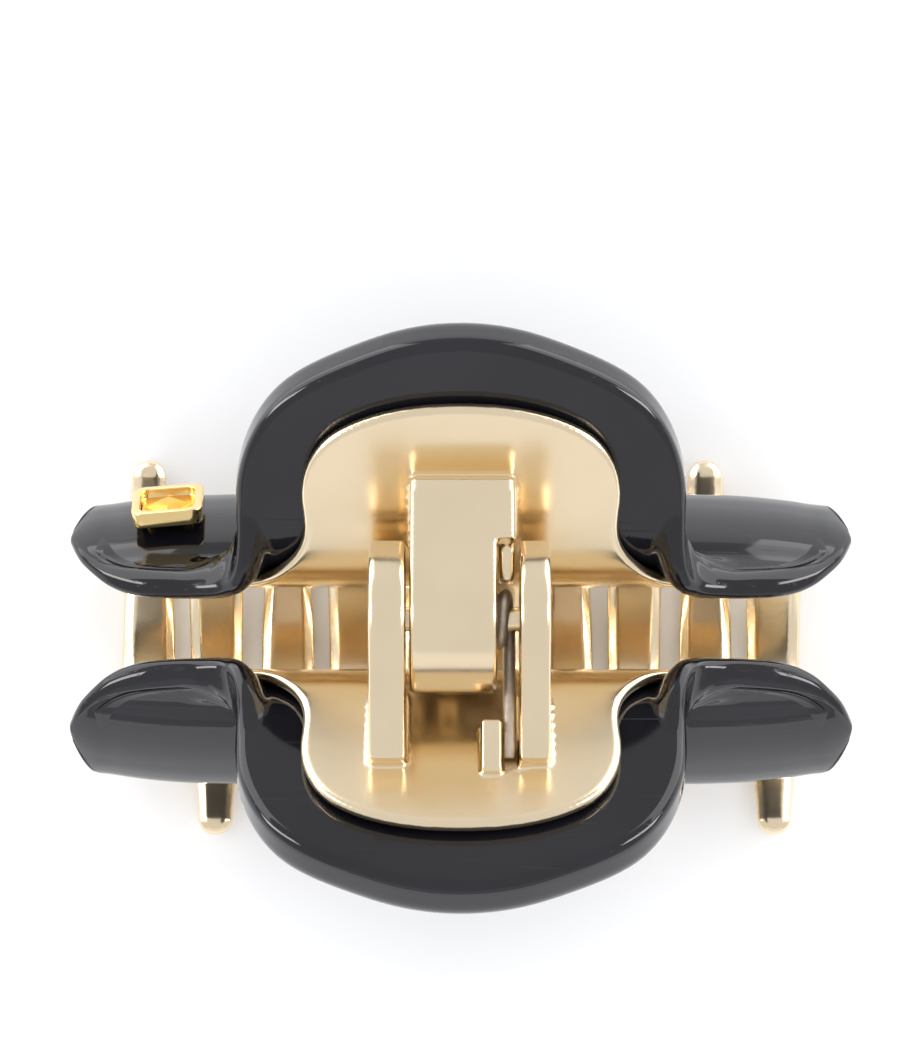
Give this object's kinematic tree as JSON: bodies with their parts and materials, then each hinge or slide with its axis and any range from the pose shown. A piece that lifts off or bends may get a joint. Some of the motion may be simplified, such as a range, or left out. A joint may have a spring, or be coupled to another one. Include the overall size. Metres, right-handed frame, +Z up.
{
  "type": "hair claw clip",
  "caption": "Small hair claw clip: two cast metal jaws with curved interlocking teeth and thick glossy shells, on one sprung hinge.",
  "frame": {"origin": "on the surface the clip stands on, straight under the middle of the hinge", "axes": "+X along the hinge pin, +Y from the front jaw to the rear jaw, +Z up"},
  "size_m": [0.056, 0.041, 0.0367],
  "materials": {
    "gold_plating": "satin pale gold plating on cast metal",
    "polished_gold": "polished yellow gold plating",
    "black_acetate": "polished near-black acetate sheet",
    "spring_steel": "drawn spring wire, slightly brown"
  },
  "bodies": {
    "front_jaw": {"front_frame": "gold_plating", "front_shell": "black_acetate", "front_stud_left": "spring_steel", "front_stud_right": "spring_steel", "front_stud_top": "spring_steel", "hinge_pin": "gold_plating", "torsion_spring": "spring_steel"},
    "rear_jaw": {"rear_frame": "gold_plating", "rear_shell": "black_acetate", "rear_stud_left": "spring_steel", "rear_stud_right": "spring_steel", "rear_stud_top": "spring_steel", "ornament_bezel": "polished_gold", "ornament_centre": "polished_gold", "ornament_post_left": "polished_gold", "ornament_post_right": "polished_gold"}
  },
  "joints": [
    {"name": "jaw_hinge", "type": "hinge", "parent": "front_jaw", "child": "rear_jaw", "pos_m": [0, 0, 0.03123], "axis": [1, 0, 0], "range_deg": [0, 60], "stiffness_Nm_per_rad": 0.1, "springref_deg": -45.84, "deforming": ["torsion_spring"]}
  ]
}
